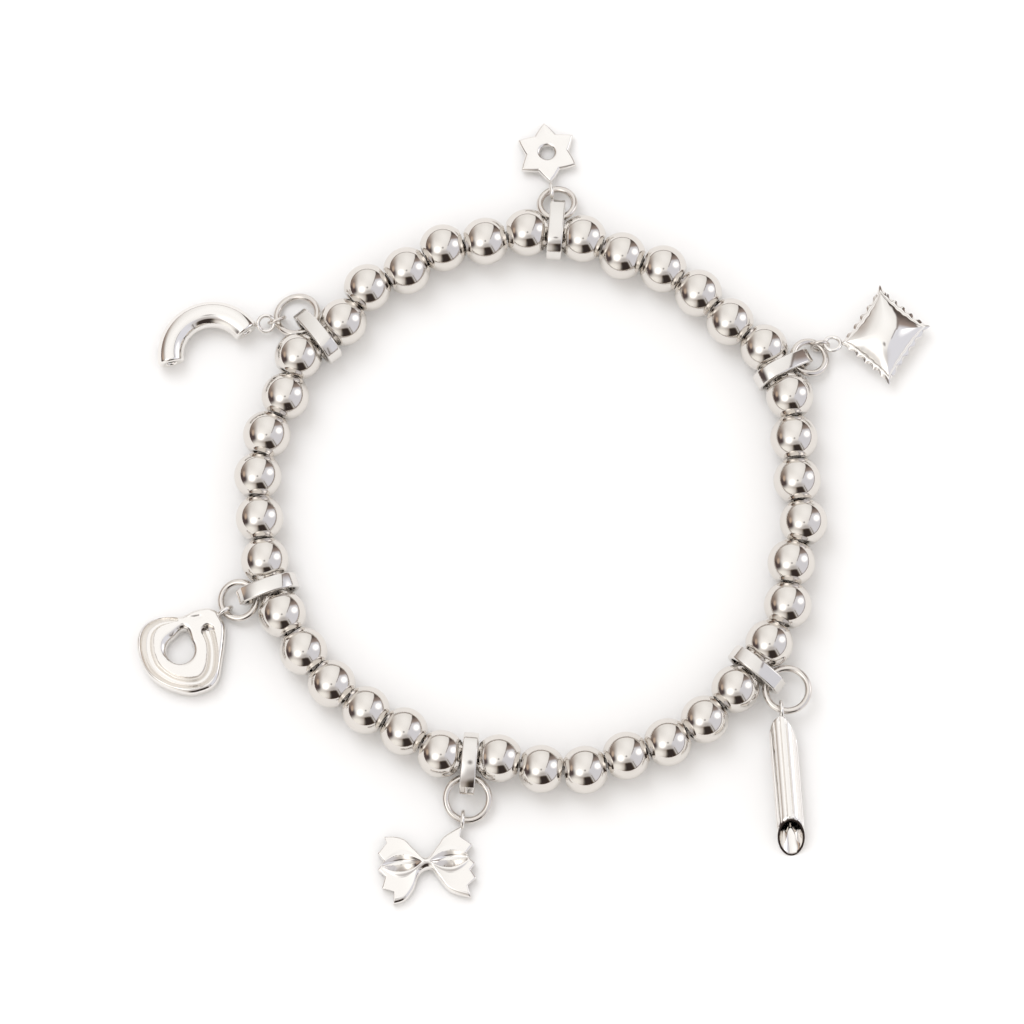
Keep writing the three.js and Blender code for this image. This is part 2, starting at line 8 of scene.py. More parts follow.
import bmesh
import bpy
import numpy as np
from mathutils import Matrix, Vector


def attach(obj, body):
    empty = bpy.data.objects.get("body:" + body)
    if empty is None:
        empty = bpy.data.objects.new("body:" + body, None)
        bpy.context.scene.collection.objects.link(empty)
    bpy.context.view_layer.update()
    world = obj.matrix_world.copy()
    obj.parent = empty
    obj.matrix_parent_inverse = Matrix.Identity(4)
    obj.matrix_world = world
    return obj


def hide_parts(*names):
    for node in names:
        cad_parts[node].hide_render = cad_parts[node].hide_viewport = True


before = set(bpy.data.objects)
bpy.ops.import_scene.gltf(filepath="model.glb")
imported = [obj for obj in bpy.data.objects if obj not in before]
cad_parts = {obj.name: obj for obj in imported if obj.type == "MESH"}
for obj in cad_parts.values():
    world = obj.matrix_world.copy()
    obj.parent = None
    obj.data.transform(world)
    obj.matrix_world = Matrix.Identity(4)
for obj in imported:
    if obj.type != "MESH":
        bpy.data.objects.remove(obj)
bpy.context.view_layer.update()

MM = 0.001
MERGE = 1e-7  # points closer than this, in metres, become one

# Sizes of the pieces, in millimetres, where the frame doesn't give them
BEAD_BORE = 1.5
BEAD_END = 0.08  # how much further each end of a bead stands out than in the frame
BEAD_LIP = 0.25
BEAD_SOFT = 2  # degrees over which a bead's round side gives way to its flat ends
BEAD_SHOULDER = 0.997  # height of the point between, as a share of the ends'
CORD_DIAMETER = 0.9
BAIL_WALL = 0.5
BAIL_SHOULDER = 0.55  # from the point at the front back to the crease
BAIL_FACET = 1.18  # height of the crease over the point
BAIL_CREASE = 0.8  # how far the inside's crease keeps from the outside's, as a share of the wall
BAIL_EDGE = 0.16
BAIL_BACK = 2.6  # how far behind the middle of its side outline a bail's back lies
LOOP_DIAMETER = 2.1
LOOP_WIRE = 0.44
WIRE_FULLNESS = 1.12  # round wire against the few-sided wire of the frame
SOLDER = 0.2
STAR_RADIUS = 3.45
STAR_VALLEY = 2.35
STAR_THICKNESS = 0.9
STAR_HOLE = 1.5
STAR_EDGE = 0.34
STAR_FLANK = 0.6  # share of each flank that stays straight before the tip
STAR_LIMIT = 1.18  # round limit of the tips, as a share of the radius
STAR_BLUNT = 4.5  # power that blends the tips with their round limit
PILLOW_SHORT = 6.35
PILLOW_LONG = 7.1
PILLOW_SQUASH = 0.95  # share to which the diagonal through the loop is pressed together
PILLOW_SIDE = 0.5  # how far the pillow lies to one side of its loop
PILLOW_FOOT = 0.86  # where the cushion meets its border, as a share of the way to the outline
PILLOW_FULLNESS = 2.3  # power by which the cushion falls: a higher one is fuller
PILLOW_BULGE = 0.08  # how far the sides stand out in their middles
PILLOW_ROUND = 1.05  # size of the round level lines against the outline's
PILLOW_SEAM = 0.09
PILLOW_SEAM_WIDTH = 0.022  # as a share of the way to the outline
PILLOW_EDGE = 0.75
PILLOW_EDGE_FALL = 0.85  # share of its thickness that the border loses on the way to the outline
PILLOW_HEIGHT = 3.2
PILLOW_TEETH = 6
PILLOW_TOOTH_DEPTH = 0.2
PILLOW_TOOTH_STEPS = 24
PILLOW_CORNER_REACH = 0.26  # how far the corners are drawn out
QUILL_LENGTH = 14.3
QUILL_DIAMETER = 2.9
QUILL_WALL = 0.3
QUILL_LIP = 0.24
QUILL_LIP_INSET = 0.04
QUILL_LIP_REACH = 0.1
QUILL_RUN_OUT = 0.5  # distance from the ends over which flutes and wall grow
QUILL_RIDGES = 14
QUILL_RIDGE_STEPS = 28
QUILL_GROOVE = 0.12
QUILL_SLANT = 1.23  # length of a slanted end, against the diameter
QUILL_SKEW = 1.4  # how much further the near end is cut back on one side
BOW_WIDTH = 10.2
BOW_THICKNESS = 1.1
FOLD_WIDTH = 9.1
FOLD_THICKNESS = 1.7
FOLD_HOLE = 2.9
FOLD_GROOVE_DEPTH = 1.05
FOLD_STEEP = 1.5  # how steeply the groove's inner wall falls
ELBOW_RADIUS = 4.36
ELBOW_DIAMETER = 2.78
ELBOW_HOLE = 1.2
ELBOW_EDGE = 0.3
ELBOW_SWEEP = 159

# Directions in which the charms lie, and turns of their own outlines, in degrees
LIES = {"star": 96, "ravioli": 4.6, "penne": -86, "farfalle": -94, "tortellini": 211, "macaroni": 199.5}
LOOP_ROLLS = {"ravioli": 70, "macaroni": 70}
BOW_TURN = 99.5
FOLD_TURN = -211
ELBOW_TURN = -76

# Camera: it looks down at this elevation, from this far off, at this point of the frame, where the
# view is this wide
ELEVATION = 77.5
TILT = math.radians(ELEVATION)
TOWARD_CAMERA = (0, -math.cos(TILT), math.sin(TILT))
CAMERA_UP = (0, math.sin(TILT), math.cos(TILT))
CAMERA_DISTANCE = 666.7
CAMERA_TARGET = (-2.49, -0.66, 2.5)
VIEW_WIDTH = 106.67
SENSOR = 36.0


def turned(points, degrees):
    """Points turned about Z."""
    c, s = math.cos(math.radians(degrees)), math.sin(math.radians(degrees))
    x, y, z = np.moveaxis(points, -1, 0)
    return np.stack([c * x - s * y, s * x + c * y, z], -1)


def grid_faces(rows, columns, wrap_rows, wrap_columns):
    """Quads between neighbours of a grid, joined round where it wraps."""
    i = np.arange(rows if wrap_rows else rows - 1)
    j = np.arange(columns if wrap_columns else columns - 1)
    i, j = np.meshgrid(i, j, indexing="ij")
    corners = [(i, j), (i + 1, j), (i + 1, j + 1), (i, j + 1)]
    return np.stack([(a % rows) * columns + b % columns for a, b in corners], -1).reshape(-1, 4)


def surface(points, wrap_rows=True, wrap_columns=True):
    """A grid of points as (points, faces)."""
    rows, columns = points.shape[:2]
    return points.reshape(-1, 3), grid_faces(rows, columns, wrap_rows, wrap_columns)


def moved(part, change):
    """A surface with its points changed."""
    points, faces = part
    return change(points), faces


def make_piece(name, parts, node, material, crease=45):
    """One object from several closed surfaces, standing for a node of the frame."""
    points = np.concatenate([p for p, _ in parts]) * MM
    starts = np.cumsum([0] + [len(p) for p, _ in parts[:-1]])
    faces = np.concatenate([f + start for (_, f), start in zip(parts, starts)])
    mesh = bpy.data.meshes.new(name)
    mesh.from_pydata(points.tolist(), [], faces.tolist())
    work = bmesh.new()
    work.from_mesh(mesh)
    bmesh.ops.remove_doubles(work, verts=work.verts, dist=MERGE)
    bmesh.ops.recalc_face_normals(work, faces=work.faces)
    work.to_mesh(mesh)
    work.free()
    mesh.polygons.foreach_set("use_smooth", np.ones(len(mesh.polygons), bool))
    mesh.set_sharp_from_angle(angle=math.radians(crease))
    mesh.materials.append(material)
    piece = bpy.data.objects.new(name, mesh)
    bpy.context.scene.collection.objects.link(piece)
    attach(piece, "root")
    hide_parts(node)
    return piece


def node_points(name):
    """A node's points, in millimetres."""
    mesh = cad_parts[name].data
    points = np.empty(3 * len(mesh.vertices))
    mesh.vertices.foreach_get("co", points)
    return points.reshape(-1, 3) / MM


def box_of(points):
    """Lowest and highest corner of the box round some points."""
    return points.min(0), points.max(0)


def round_place(name):
    """Middle and axis of a round node. The axis is the direction in which its points spread least
    like the other two."""
    points = node_points(name)
    middle = sum(box_of(points)) / 2
    spread, directions = np.linalg.eigh(np.cov((points - middle).T))
    axis = directions[:, 0 if spread[1] - spread[0] > spread[2] - spread[1] else 2]
    return middle, axis


def across(axis):
    """Two unit directions square to an axis and to each other, the first of them level."""
    side = np.cross([0, 0, 1], axis)
    if np.linalg.norm(side) < 1e-3:
        side = np.array([1.0, 0, 0])
    side = side / np.linalg.norm(side)
    return side, np.cross(axis, side)


def revolved(middle, axis, radii, heights, steps):
    """A closed profile carried round an axis: middle + height along it + radius round it."""
    side, other = across(axis)
    turn = np.linspace(0, 2 * math.pi, steps, endpoint=False)[:, None, None]
    out = np.cos(turn) * side + np.sin(turn) * other
    return surface(middle + np.asarray(heights)[None, :, None] * axis
                   + np.asarray(radii)[None, :, None] * out)


def arc(centre, radius, start, end, steps):
    """Points on part of a circle, from one angle to another in degrees, as (x, y) rows."""
    angle = np.radians(np.linspace(start, end, steps))
    return np.stack([centre[0] + radius * np.cos(angle), centre[1] + radius * np.sin(angle)], -1)


def torus(middle, axis, ring_radius, wire_radius, steps=96, sides=24):
    """A wire of round section, bent to a ring about an axis."""
    section = arc((ring_radius, 0), wire_radius, 0, 360 * (1 - 1 / sides), sides)
    return revolved(middle, axis, section[:, 0], section[:, 1], steps)


def eased(steps, ease):
    """Shares from 0 to 1, evenly spread where ease is 0 and crowded towards both ends where it is 1."""
    even = np.linspace(0, 1, steps)
    return ease * (0.5 - 0.5 * np.cos(math.pi * even)) + (1 - ease) * even


def along_line(points, count):
    """Points evenly spread along a line of straight stretches, its corners kept."""
    points = np.array(points)
    t = np.linspace(0, len(points) - 1, count)
    return np.stack([np.interp(t, np.arange(len(points)), points[:, k]) for k in (0, 1)], -1)


def smooth_line(points, steps, closed=False):
    """A Catmull-Rom curve through points."""
    points = np.array(points, float)
    around = (np.concatenate([points[-1:], points, points[:2]]) if closed
              else np.concatenate([points[:1], points, points[-1:]]))
    t = np.linspace(0, 1, steps, endpoint=False)[:, None]
    pieces = []
    for a, b, c, d in (around[i:i + 4] for i in range(len(around) - 3)):
        pieces.append(0.5 * (2 * b + (c - a) * t + (2 * a - 5 * b + 4 * c - d) * t ** 2
                             + (3 * b - a - 3 * c + d) * t ** 3))
    if not closed:
        pieces.append(points[-1:])
    return np.concatenate(pieces)


def rounding(distance, radius):
    """How far a rounded edge has fallen at a distance from it: r - sqrt(r2 - (r - distance)2)."""
    inward = np.clip(1 - distance / radius, 0, 1)
    return radius * (1 - np.sqrt(1 - inward ** 2))


def make_group(name, inputs, outputs):
    """A shader node group with number outputs and inputs (label: default, None for a vector)."""
    group = bpy.data.node_groups.new(name, "ShaderNodeTree")
    for label, default in inputs.items():
        kind = "NodeSocketVector" if default is None else "NodeSocketFloat"
        socket = group.interface.new_socket(label, in_out="INPUT", socket_type=kind)
        if default is not None:
            socket.default_value = default
    for label in outputs:
        group.interface.new_socket(label, in_out="OUTPUT", socket_type="NodeSocketFloat")
    return group, group.nodes.new("NodeGroupInput"), group.nodes.new("NodeGroupOutput")


def connect(tree, source, target):
    """Links a socket, or sets a plain value on one."""
    if isinstance(source, bpy.types.NodeSocket):
        tree.links.new(source, target)
    else:
        target.default_value = source


def maths(tree, operation, *values):
    """A Math node's result."""
    node = tree.nodes.new("ShaderNodeMath")
    node.operation = operation
    for value, target in zip(values, node.inputs):
        connect(tree, value, target)
    return node.outputs[0]


def smooth_between(tree, value, low, high):
    """0 below low, 1 above high, and a smooth step between."""
    node = tree.nodes.new("ShaderNodeMapRange")
    node.interpolation_type = "SMOOTHSTEP"
    for source, label in ((value, "Value"), (low, "From Min"), (high, "From Max")):
        connect(tree, source, node.inputs[label])
    return node.outputs[0]


# Scratches of the polish: the turns of their two directions, and how fine they are along X, Y and Z
SCRATCH_TURNS = (0.6, -0.9)
SCRATCH_SCALE = (6000.0, 300.0, 300.0)
# Colours between which the cord's elastic is mottled
ELASTIC_DARK = (0.45, 0.40, 0.36, 1)
ELASTIC_PALE = (0.75, 0.72, 0.68, 1)


def polish_group():
    """The polish of silver: faint cloudy roughness, and fine scratches in two directions."""
    group, start, end = make_group(
        "polished_silver", {"Vector": None, "Cloud Size": 900.0, "Cloud": 0.03, "Roughness": 0.05},
        ["Roughness", "Height"])
    clouds = group.nodes.new("ShaderNodeTexNoise")
    clouds.inputs["Detail"].default_value = 3.0
    group.links.new(start.outputs["Vector"], clouds.inputs["Vector"])
    group.links.new(start.outputs["Cloud Size"], clouds.inputs["Scale"])
    spread = maths(group, "MULTIPLY", clouds.outputs[0], start.outputs["Cloud"])
    group.links.new(maths(group, "ADD", spread, start.outputs["Roughness"]), end.inputs["Roughness"])
    scratches = []
    for turn in SCRATCH_TURNS:
        mapping = group.nodes.new("ShaderNodeMapping")
        mapping.inputs["Rotation"].default_value = (turn, turn / 2, turn)
        mapping.inputs["Scale"].default_value = SCRATCH_SCALE
        group.links.new(start.outputs["Vector"], mapping.inputs["Vector"])
        noise = group.nodes.new("ShaderNodeTexNoise")
        noise.inputs["Detail"].default_value = 1.0
        group.links.new(mapping.outputs[0], noise.inputs["Vector"])
        scratches.append(noise.outputs[0])
    group.links.new(maths(group, "MULTIPLY", *scratches), end.inputs["Height"])
    return group


POLISH = polish_group()


def silver(name, colour, roughness, cloud, scratch):
    """Polished silver, with its own clouding and strength of scratches."""
    material = bpy.data.materials.new(name)
    material.use_nodes = True
    tree = material.node_tree
    shader = tree.nodes["Principled BSDF"]
    shader.inputs["Base Color"].default_value = (*colour, 1)
    shader.inputs["Metallic"].default_value = 1.0
    place = tree.nodes.new("ShaderNodeTexCoord")
    polish = tree.nodes.new("ShaderNodeGroup")
    polish.node_tree = POLISH
    polish.inputs["Roughness"].default_value = roughness
    polish.inputs["Cloud"].default_value = cloud
    tree.links.new(place.outputs["Object"], polish.inputs["Vector"])
    tree.links.new(polish.outputs["Roughness"], shader.inputs["Roughness"])
    bump = tree.nodes.new("ShaderNodeBump")
    bump.inputs["Strength"].default_value = scratch
    bump.inputs["Distance"].default_value = 0.00001
    tree.links.new(polish.outputs["Height"], bump.inputs["Height"])
    tree.links.new(bump.outputs[0], shader.inputs["Normal"])
    return material


def elastic(name):
    """The pale elastic of the cord, finely mottled and ribbed."""
    material = bpy.data.materials.new(name)
    material.use_nodes = True
    tree = material.node_tree
    shader = tree.nodes["Principled BSDF"]
    shader.inputs["Roughness"].default_value = 0.55
    place = tree.nodes.new("ShaderNodeTexCoord")
    ribs = tree.nodes.new("ShaderNodeTexNoise")
    ribs.inputs["Scale"].default_value = 4000.0
    tree.links.new(place.outputs["Object"], ribs.inputs["Vector"])
    shade = tree.nodes.new("ShaderNodeValToRGB")
    shade.color_ramp.elements[0].color = ELASTIC_DARK
    shade.color_ramp.elements[1].color = ELASTIC_PALE
    tree.links.new(ribs.outputs[0], shade.inputs[0])
    tree.links.new(shade.outputs[0], shader.inputs["Base Color"])
    bump = tree.nodes.new("ShaderNodeBump")
    bump.inputs["Strength"].default_value = 0.6
    bump.inputs["Distance"].default_value = 0.00003
    tree.links.new(ribs.outputs[0], bump.inputs["Height"])
    tree.links.new(bump.outputs[0], shader.inputs["Normal"])
    return material


BEAD_SILVER = silver("bead_silver", (0.75, 0.715, 0.675), roughness=0.035, cloud=0.03, scratch=0.03)
CAST_SILVER = silver("cast_silver", (0.86, 0.835, 0.805), roughness=0.04, cloud=0.04, scratch=0.04)
WIRE_SILVER = silver("wire_silver", (0.73, 0.69, 0.65), roughness=0.05, cloud=0.04, scratch=0.05)
BAIL_SILVER = silver("bail_silver", (0.77, 0.745, 0.715), roughness=0.04, cloud=0.04, scratch=0.05)
CORD_ELASTIC = elastic("cord_elastic")


def make_bead(node):
    """A sphere between two flat ends with softly rounded lips, drilled through."""
    middle, axis = round_place(node)
    points = node_points(node) - middle
    half = np.abs(points @ axis).max() + BEAD_END
    radius = np.linalg.norm(points, axis=1).max()
    reach = math.degrees(math.asin(half / radius)) - BEAD_SOFT
    ball = arc((0, 0), radius, -reach, reach, 49)
    bore = BEAD_BORE / 2
    lip = arc((bore + BEAD_LIP, half - BEAD_LIP), BEAD_LIP, 90, 180, 6)
    between = math.radians(reach + BEAD_SOFT / 2)
    shoulder = np.array([[radius * math.cos(between), half * BEAD_SHOULDER]])
    profile = np.concatenate([ball, shoulder, lip, lip[::-1] * [1, -1], shoulder * [1, -1]])
    part = revolved(middle, axis, profile[:, 0], profile[:, 1], 72)
    make_piece("silver_" + node, [part], node, BEAD_SILVER)
    return middle


def make_cord(middles):
    """A round section carried along a smooth closed line through the middles of the beads."""
    line = smooth_line(middles, 12, closed=True)
    ahead = np.roll(line, -1, 0) - np.roll(line, 1, 0)
    ahead /= np.linalg.norm(ahead, axis=1)[:, None]
    side = np.stack([-ahead[:, 1], ahead[:, 0], np.zeros(len(line))], -1)
    angle = np.linspace(0, 2 * math.pi, 16, endpoint=False)[None, :, None]
    points = line[:, None] + (CORD_DIAMETER / 2) * (
        np.cos(angle) * side[:, None] + np.sin(angle) * np.array([0, 0, 1.0]))
    make_piece("cord_elastic_band", [surface(points)], "elastic_cord", CORD_ELASTIC)


def bail_outline(inset, height, reach, steps=24):
    """The upper half of a bail's side outline, as (outward, up) rows from a middle that lies
    BAIL_BACK ahead of its back: from the point over the crease and arch to the back."""
    half = height / 2 - inset
    crest = height / 2 - BAIL_BACK
    back = BAIL_BACK + crest - inset
    slope = math.atan2(BAIL_FACET, BAIL_SHOULDER)
    point = reach - inset / math.sin(slope)
    crease = reach - BAIL_SHOULDER - inset * BAIL_CREASE
    rise = (point - crease) * math.tan(slope)
    facet = np.linspace([point, 0], [crease, rise], 6)
    t = np.linspace(0, 1, steps)[1:, None]
    arch = np.concatenate(
        [crease + (crest - crease) * t, rise + (half - rise) * (1 - (1 - t) ** 2)], 1)
    angle = np.linspace(math.pi / 2, math.pi, steps)[1:]
    rear = np.stack([crest + back * np.cos(angle), half * np.sin(angle)], -1)
    return np.concatenate([facet, arch, rear])


def make_bail(name, wrist):
    """A band whose section, a rectangle with rounded edges, is carried round the side outline."""
    node = "bail_" + name
    points = node_points(node)
    low, high = box_of(points)
    middle = (low + high) / 2
    level = (points - middle)[:, :2]
    directions = np.linalg.eigh(np.cov(level.T))[1]
    along = directions[:, 0]
    outward = directions[:, 1] * np.sign((middle[:2] - wrist[:2]) @ directions[:, 1])
    reach_low, reach_high = (level @ outward).min(), (level @ outward).max()
    width = np.ptp(level @ along)
    height = high[2] - low[2]
    reach = reach_high - reach_low - BAIL_BACK
    outer, inner = (bail_outline(inset, height, reach) for inset in (0, BAIL_WALL))
    outer, inner = (np.concatenate([half, half[-2:0:-1] * [1, -1]]) for half in (outer, inner))
    r = BAIL_EDGE
    share = r / BAIL_WALL
    corner = arc((0, 0), 1, 0, 90, 5)
    right = [[width / 2 - r + r * x, 1 - share + share * y] for x, y in corner]
    left = [[-w, t] for w, t in right[::-1]]
    below = [[w, 1 - t] for w, t in left[::-1] + right[::-1]]
    section = np.array(right + left + below)
    w, t = section[None, :, 0, None], section[None, :, 1, None]
    side = outer[:, None] * t + inner[:, None] * (1 - t)
    origin = middle[:2] + outward * (reach_low + BAIL_BACK)
    place = np.concatenate([
        origin + side[..., :1] * outward + w * along,
        side[..., 1:] + middle[2]], -1)
    make_piece("silver_" + node, [surface(place)], node, BAIL_SILVER, crease=30)


def make_ring(node):
    """A ring of round wire, its sizes read from the node."""
    middle, axis = round_place(node)
    level = node_points(node) - middle
    reach = np.linalg.norm(level - np.outer(level @ axis, axis), axis=1)
    wire = (reach.max() - reach.min()) / 2
    part = torus(middle, axis, reach.max() - wire, wire * WIRE_FULLNESS)
    make_piece("silver_" + node, [part], node, WIRE_SILVER)


def charm_loop(height=LOOP_DIAMETER / 2, roll=0):
    """A small ring of wire above the origin, standing in the plane of X and Z but for its roll."""
    turn = math.radians(roll)
    axis = np.array([0, math.cos(turn), math.sin(turn)])
    return torus(np.array([0, 0, height]), axis, (LOOP_DIAMETER - LOOP_WIRE) / 2, LOOP_WIRE / 2,
                 steps=64, sides=16)


def lean_from_loop(part, thickness, depth):
    """A plate whose near point is at x = 0, soldered at its mid-height to an upright loop, and
    leaning from there until its far end lies on the surface."""
    seat = LOOP_DIAMETER / 2 - depth
    lean = math.asin((LOOP_DIAMETER / 2 - thickness / 2) / (seat + part[0][:, 0].max()))
    c, s = math.cos(lean), math.sin(lean)

    def place(points):
        x, y, z = points.T
        x, z = x + seat, z - thickness / 2
        return np.stack([c * x + s * z, y, c * z - s * x + LOOP_DIAMETER / 2], -1)

    return moved(part, place)


def slab(inner, outer, thickness, edge, angle):
    """A flat plate between a hole and an outline, both given as radii by angle, with rounded edges.
    Its section runs up the hole's wall, over the top, down the outline and back below."""
    quarter = arc((0, 0), 1, 0, 90, 5)
    hole = [(0, edge * (1 - x), thickness - edge * (1 - y)) for x, y in quarter]
    rim = [(1, inset, z) for _, inset, z in hole[::-1]]
    top = hole + rim
    low = [(side, inset, thickness - z) for side, inset, z in top[::-1]]
    side, inset, z = np.array(top + low).T
    radius = np.where(side[None] < 0.5, inner[:, None] + inset, outer[:, None] - inset)
    x = radius * np.cos(angle)[:, None]
    y = radius * np.sin(angle)[:, None]
    return surface(np.stack([x, y, np.broadcast_to(z, x.shape)], -1))


def star_charm():
    """Radius by angle: straight flanks from tip to valley, softly limited at the tips."""
    angle = np.radians(np.arange(0, 360, 1.0))
    off = np.abs((np.degrees(angle) + 30) % 60 - 30)
    valley = STAR_VALLEY * math.cos(math.radians(30))
    corner = (2 * STAR_RADIUS - valley * (1 - STAR_FLANK)) / (1 + STAR_FLANK)
    flank = corner * STAR_VALLEY * math.sin(math.radians(30)) / (
        corner * np.sin(np.radians(off)) + STAR_VALLEY * np.sin(np.radians(30 - off)))
    limit = STAR_RADIUS * STAR_LIMIT
    outline = (flank ** -STAR_BLUNT + limit ** -STAR_BLUNT) ** (-1 / STAR_BLUNT)
    hole = np.full(len(angle), STAR_HOLE / 2)
    plate = slab(hole, outline, STAR_THICKNESS, STAR_EDGE, angle)
    plate = moved(plate, lambda p: p + [STAR_RADIUS, 0, 0])
    return [lean_from_loop(plate, STAR_THICKNESS, SOLDER / 2), charm_loop()]


def pillow_charm():
    """Rings from the middle to the pinked outline, drawn out at its corners. Height: a cushion
    that falls as q ** PILLOW_FULLNESS, where q runs from round level lines in the middle to the
    outline's shape at the cushion's foot, so that creases run out to the corners; then a sloping
    border behind a narrow seam."""
    half = np.array([PILLOW_LONG, PILLOW_SHORT]) / 2
    per_side = PILLOW_TOOTH_STEPS * PILLOW_TEETH
    along = np.linspace(-1, 1, per_side, endpoint=False)
    square = np.concatenate([
        np.stack([along, -np.ones(per_side)], -1), np.stack([np.ones(per_side), along], -1),
        np.stack([-along, np.ones(per_side)], -1), np.stack([-np.ones(per_side), -along], -1)])
    run = np.tile(along, 4)
    flat_side = np.repeat([1, 0, 1, 0], per_side)
    tooth = PILLOW_TOOTH_DEPTH * (0.5 - 0.5 * np.cos(math.pi * PILLOW_TEETH * (run + 1)))
    tooth = tooth * np.minimum(1, 3 * (1 - np.abs(run)))
    reach = PILLOW_CORNER_REACH * np.abs(run) ** 4 + PILLOW_BULGE * (1 - run ** 2)
    normal = np.stack([square[:, 0] * (1 - flat_side), square[:, 1] * flat_side], -1)
    outline = square * half + square * PILLOW_CORNER_REACH * np.abs(run[:, None]) ** 3 * (
        1 - np.abs(normal)) + normal * reach[:, None]
    share = np.concatenate([np.linspace(0, 0.84, 40), np.linspace(0.85, 1, 16)])[:, None]
    pinked = outline[None] - normal[None] * tooth[None, :, None] * share[..., None] ** 10
    flat = pinked * share[..., None]
    rounder = np.hypot(*(outline / (half + PILLOW_CORNER_REACH)).T)[None] * share * PILLOW_ROUND
    blend = np.clip(share / PILLOW_FOOT, 0, 1) ** 1.5
    q = np.clip((blend * share + (1 - blend) * rounder) / PILLOW_FOOT, 0, 1)
    border = np.clip((share - PILLOW_FOOT) / (1 - PILLOW_FOOT), 0, 1)
    rise = (PILLOW_EDGE / 2 * (1 - PILLOW_EDGE_FALL * border)
            + (PILLOW_HEIGHT - PILLOW_EDGE) / 2 * (1 - q ** PILLOW_FULLNESS)
            - PILLOW_SEAM * np.exp(-((share - PILLOW_FOOT) / PILLOW_SEAM_WIDTH) ** 2))
    top = np.concatenate([flat, rise[..., None]], -1)
    low = np.concatenate([flat, -rise[..., None]], -1)[::-1]
    body = surface(np.concatenate([top, low]), wrap_rows=False)
    middle = max(PILLOW_HEIGHT / 2, LOOP_DIAMETER / 2)
    corner = half[::-1] + PILLOW_CORNER_REACH
    distance = LOOP_DIAMETER / 2 - 2 * SOLDER + np.hypot(*corner) * PILLOW_SQUASH
    turn = -math.degrees(math.atan2(corner[1], -corner[0]))
    squash = [PILLOW_SQUASH, 1 / PILLOW_SQUASH, 1]
    body = moved(body, lambda p: turned(p, turn) * squash + [distance, PILLOW_SIDE, middle])
    return [body, charm_loop(middle, LOOP_ROLLS["ravioli"])]


def tube_section(steps):
    """Shares along a tube, out along its outside and back along its inside, and 1 for the inside."""
    t = eased(steps, 1)
    return np.concatenate([t, t[::-1]]), np.repeat([0.0, 1.0], steps)


def quill_charm():
    """Angle round the tube by share along it: flutes that run out at the slanted ends, and a plain
    bore that widens to a thin lip there."""
    radius = QUILL_DIAMETER / 2
    angle = np.linspace(0, 2 * math.pi, QUILL_RIDGE_STEPS * QUILL_RIDGES, endpoint=False)[:, None]
    share, inside = tube_section(60)
    straight = QUILL_LENGTH - QUILL_SLANT * QUILL_DIAMETER
    from_end = np.minimum(share, 1 - share)[None] * straight
    flute = QUILL_GROOVE * np.clip(np.cos(QUILL_RIDGES * angle), 0, 1) ** 4
    flute = flute * (1 - np.exp(-from_end / QUILL_RUN_OUT))
    lip = QUILL_LIP_INSET * np.exp(-(from_end / QUILL_LIP_REACH) ** 2)
    wall = QUILL_WALL - (QUILL_WALL - QUILL_LIP) * np.exp(-(from_end / QUILL_RUN_OUT) ** 2)
    r = np.where(inside[None] > 0.5, radius - wall, radius - flute - lip)
    y, z = r * np.cos(angle), radius + r * np.sin(angle)
    skew = QUILL_SKEW * np.clip(y / radius, 0, 1) ** 1.2 * (1 - share[None])
    x = share[None] * straight + QUILL_SLANT * (QUILL_DIAMETER - z) + skew
    tube = surface(np.stack([x, y, z], -1))
    loop_radius = (LOOP_DIAMETER - LOOP_WIRE) / 2
    below_top = SOLDER + QUILL_WALL / 2
    start = math.sqrt(loop_radius ** 2 - (loop_radius - below_top) ** 2) + LOOP_WIRE / 2 - SOLDER
    tube = moved(tube, lambda p: p + [start, 0, 0])
    return [tube, charm_loop(QUILL_DIAMETER - loop_radius + SOLDER)]


def elbow_charm():
    """Angle round the tube by share along the bend, thick-walled, with flat-cut ends."""
    angle = np.linspace(0, 2 * math.pi, 48, endpoint=False)[:, None]
    share, inside = tube_section(64)
    bend = np.radians(ELBOW_SWEEP) * share[None]
    from_end = np.minimum(share, 1 - share)[None] * math.radians(ELBOW_SWEEP) * ELBOW_RADIUS
    blunt = rounding(from_end, ELBOW_EDGE)
    r = np.where(inside[None] > 0.5, ELBOW_HOLE / 2 + blunt, ELBOW_DIAMETER / 2 - blunt)
    reach = ELBOW_RADIUS + r * np.cos(angle)
    x = reach * np.sin(bend)
    y = ELBOW_RADIUS - reach * np.cos(bend) + ELBOW_DIAMETER / 2
    z = r * np.sin(angle) + ELBOW_DIAMETER / 2
    tube = moved(surface(np.stack([x, y, z], -1)), lambda p: turned(p, ELBOW_TURN))
    tube = moved(tube, lambda p: p + [LOOP_DIAMETER / 2 - SOLDER, 0, 0])
    middle = (ELBOW_DIAMETER + LOOP_DIAMETER) / 4
    return [tube, charm_loop(middle, LOOP_ROLLS["macaroni"])]


